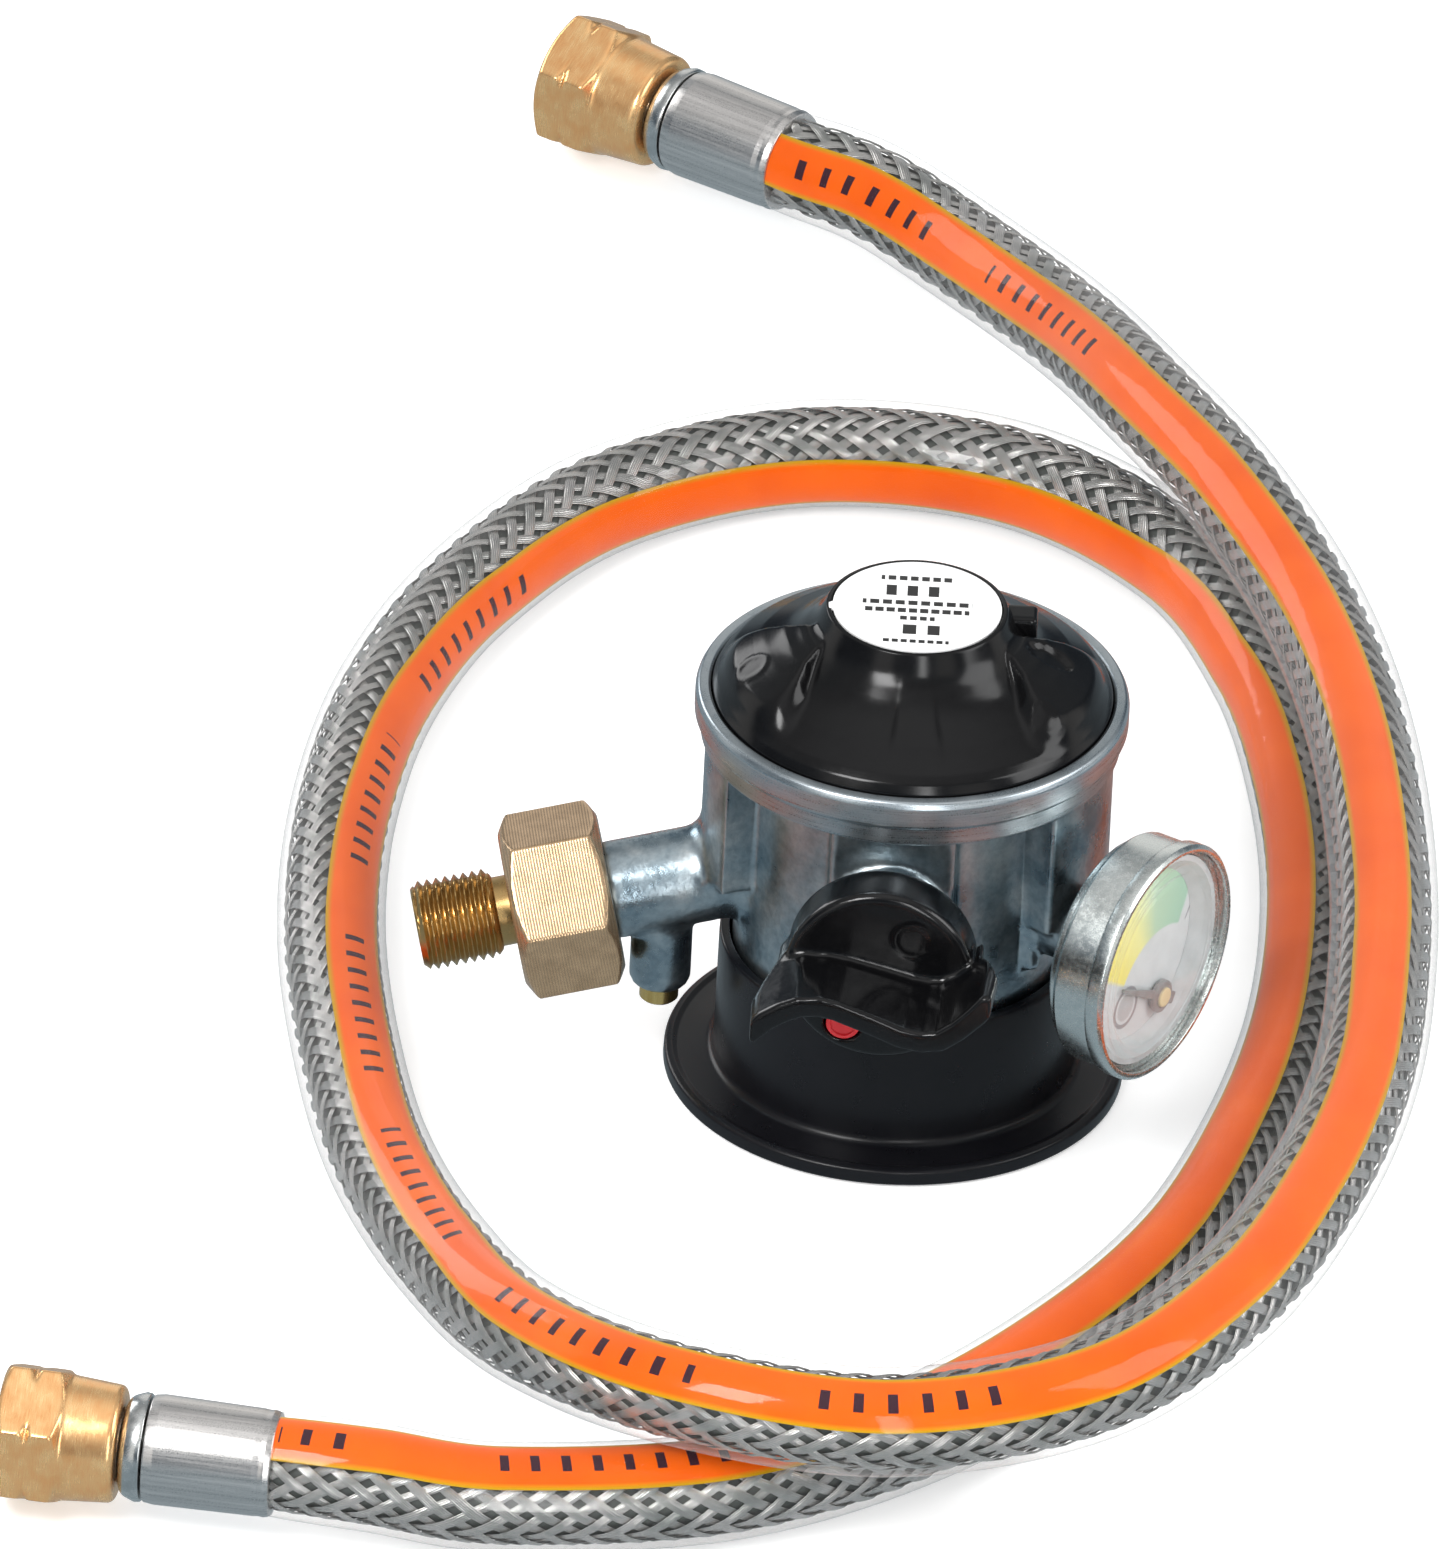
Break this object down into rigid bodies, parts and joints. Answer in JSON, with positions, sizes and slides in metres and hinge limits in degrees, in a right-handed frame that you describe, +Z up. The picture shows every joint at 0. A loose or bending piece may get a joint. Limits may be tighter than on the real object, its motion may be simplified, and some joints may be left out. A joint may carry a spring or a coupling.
{
  "type": "clip-on gas regulator with gauge and hose",
  "caption": "Clip-on low-pressure LPG regulator with knob, pressure gauge and threaded side outlet, with a loose braided gas hose that has a brass swivel nut at each end.",
  "frame": {"origin": "middle of the regulator's own box at floor level; the regulator's upright axis stands at x 11.2 mm, y 10.6 mm", "axes": "+Z up along the regulator's axis, -Y towards the control knob, -X towards the threaded outlet"},
  "size_m": [0.2053, 0.4065, 0.0788],
  "materials": {
    "cast_zinc": "blue-grey passivated zinc die casting, fine cast mottling",
    "black_plastic": "glossy black moulded plastic",
    "brass": "machined bare brass with fine turning lines",
    "plated_steel": "bright zinc plated steel, slightly brushed",
    "spring_steel": "drawn spring wire",
    "rubber": "matt nitrile rubber",
    "red_plastic": "red moulded insert",
    "label": "white printed label",
    "dial": "printed white dial",
    "lens": "clear lens",
    "hose_cover": "clear sleeve over a braided metal-look cover with an orange stripe"
  },
  "bodies": {
    "regulator": {"body_casting": "cast_zinc", "bonnet_cap": "black_plastic", "cap_label": "label", "adjusting_screw": "brass", "main_spring": "spring_steel", "diaphragm": "rubber", "lever_pin": "plated_steel", "inlet_nozzle": "brass", "valve_seal": "rubber", "pin_spring": "spring_steel", "ring_spring": "spring_steel", "outlet_adapter": "brass", "outlet_washer": "rubber", "flow_fuse_spring": "spring_steel", "button_spring": "spring_steel", "gauge_case": "plated_steel", "gauge_bezel": "plated_steel", "gauge_lens": "lens", "gauge_dial": "dial", "gauge_stem": "brass", "gauge_seal": "rubber", "bourdon_tube": "brass", "hose_tube": "hose_cover", "ferrule_a": "plated_steel", "hose_tail_a": "plated_steel", "ferrule_b": "plated_steel", "hose_tail_b": "plated_steel"},
    "lock_ring": {"lock_ring": "black_plastic"},
    "lock_ball_1": {"lock_ball_1": "plated_steel"},
    "lock_ball_2": {"lock_ball_2": "plated_steel"},
    "lock_ball_3": {"lock_ball_3": "plated_steel"},
    "lock_ball_4": {"lock_ball_4": "plated_steel"},
    "lock_ball_5": {"lock_ball_5": "plated_steel"},
    "lock_ball_6": {"lock_ball_6": "plated_steel"},
    "knob": {"knob": "black_plastic", "knob_red_mark": "red_plastic", "cam_spindle": "plated_steel", "spindle_o_ring": "rubber"},
    "opening_pin": {"opening_pin": "brass"},
    "diaphragm_plate": {"diaphragm_plate": "plated_steel", "diaphragm_stem": "plated_steel"},
    "valve_lever": {"valve_lever": "plated_steel"},
    "valve_poppet": {"valve_poppet": "brass", "seat_pad": "rubber"},
    "union_nut": {"union_nut": "brass"},
    "flow_fuse": {"flow_fuse_piston": "brass"},
    "reset_button": {"reset_button": "brass"},
    "gauge_needle": {"gauge_needle": "spring_steel"},
    "swivel_nut_a": {"swivel_nut_a": "brass"},
    "swivel_nut_b": {"swivel_nut_b": "brass"}
  },
  "joints": [
    {"name": "ring_lift", "type": "slide", "parent": "regulator", "child": "lock_ring", "axis": [0, 0, 1], "range_m": [0, 0.004], "stiffness_N_per_m": 500, "springref_m": -0.006, "deforming": ["ring_spring"]},
    {"name": "ball_1_slide", "type": "slide", "parent": "regulator", "child": "lock_ball_1", "axis": [0.866, 0.5, 0], "range_m": [0, 0.001]},
    {"name": "ball_2_slide", "type": "slide", "parent": "regulator", "child": "lock_ball_2", "axis": [0, 1, 0], "range_m": [0, 0.001]},
    {"name": "ball_3_slide", "type": "slide", "parent": "regulator", "child": "lock_ball_3", "axis": [-0.866, 0.5, 0], "range_m": [0, 0.001]},
    {"name": "ball_4_slide", "type": "slide", "parent": "regulator", "child": "lock_ball_4", "axis": [-0.866, -0.5, 0], "range_m": [0, 0.001]},
    {"name": "ball_5_slide", "type": "slide", "parent": "regulator", "child": "lock_ball_5", "axis": [0, -1, 0], "range_m": [0, 0.001]},
    {"name": "ball_6_slide", "type": "slide", "parent": "regulator", "child": "lock_ball_6", "axis": [0.866, -0.5, 0], "range_m": [0, 0.001]},
    {"name": "knob_turn", "type": "hinge", "parent": "regulator", "child": "knob", "pos_m": [0.00834, -0.0303, 0.0405], "axis": [-0.0698, -0.9976, 0], "range_deg": [-90, 0]},
    {"name": "pin_push", "type": "slide", "parent": "regulator", "child": "opening_pin", "axis": [0, 0, 1], "range_m": [-0.0024, 0], "stiffness_N_per_m": 150, "springref_m": 0.001, "deforming": ["pin_spring"]},
    {"name": "diaphragm_stroke", "type": "slide", "parent": "regulator", "child": "diaphragm_plate", "axis": [0, 0, 1], "range_m": [0, 0.0022], "stiffness_N_per_m": 1500, "springref_m": -0.003, "deforming": ["main_spring", "diaphragm"]},
    {"name": "lever_tilt", "type": "hinge", "parent": "regulator", "child": "valve_lever", "pos_m": [0.0027, 0.0106, 0.0552], "axis": [0, -1, 0], "range_deg": [0, 15.2]},
    {"name": "poppet_lift", "type": "slide", "parent": "regulator", "child": "valve_poppet", "axis": [0, 0, 1], "range_m": [-0.0011, 0]},
    {"name": "union_nut_spin", "type": "hinge", "parent": "regulator", "child": "union_nut", "pos_m": [-0.03734, 0.00464, 0.0294], "axis": [-0.9709, -0.1192, -0.2079], "continuous": true},
    {"name": "flow_fuse_slide", "type": "slide", "parent": "regulator", "child": "flow_fuse", "axis": [-0.9709, -0.1192, -0.2079], "range_m": [0, 0.0015], "stiffness_N_per_m": 60, "springref_m": -0.002},
    {"name": "reset_press", "type": "slide", "parent": "regulator", "child": "reset_button", "axis": [0, 0, 1], "range_m": [0, 0.002], "stiffness_N_per_m": 300, "springref_m": -0.002, "deforming": ["button_spring"]},
    {"name": "needle_swing", "type": "hinge", "parent": "regulator", "child": "gauge_needle", "pos_m": [0.04967, -0.00692, 0.0252], "axis": [0.8572, -0.515, 0], "range_deg": [-105, 5]},
    {"name": "swivel_nut_a_spin", "type": "hinge", "parent": "regulator", "child": "swivel_nut_a", "pos_m": [-0.03725, 0.25982, 0.0112], "axis": [-0.8471, 0.5314, 0], "continuous": true},
    {"name": "swivel_nut_b_spin", "type": "hinge", "parent": "regulator", "child": "swivel_nut_b", "pos_m": [-0.10628, -0.11939, 0.0112], "axis": [-0.9903, 0.1392, 0], "continuous": true}
  ],
  "couplings": [
    {"joint": "ball_1_slide", "follows": "ring_lift", "ratio": 0.25},
    {"joint": "ball_2_slide", "follows": "ring_lift", "ratio": 0.25},
    {"joint": "ball_3_slide", "follows": "ring_lift", "ratio": 0.25},
    {"joint": "ball_4_slide", "follows": "ring_lift", "ratio": 0.25},
    {"joint": "ball_5_slide", "follows": "ring_lift", "ratio": 0.25},
    {"joint": "ball_6_slide", "follows": "ring_lift", "ratio": 0.25},
    {"joint": "pin_push", "follows": "knob_turn", "m_per_rad": 0.0014},
    {"joint": "lever_tilt", "follows": "diaphragm_stroke", "rad_per_m": 117.65},
    {"joint": "poppet_lift", "follows": "diaphragm_stroke", "ratio": -0.4706}
  ]
}
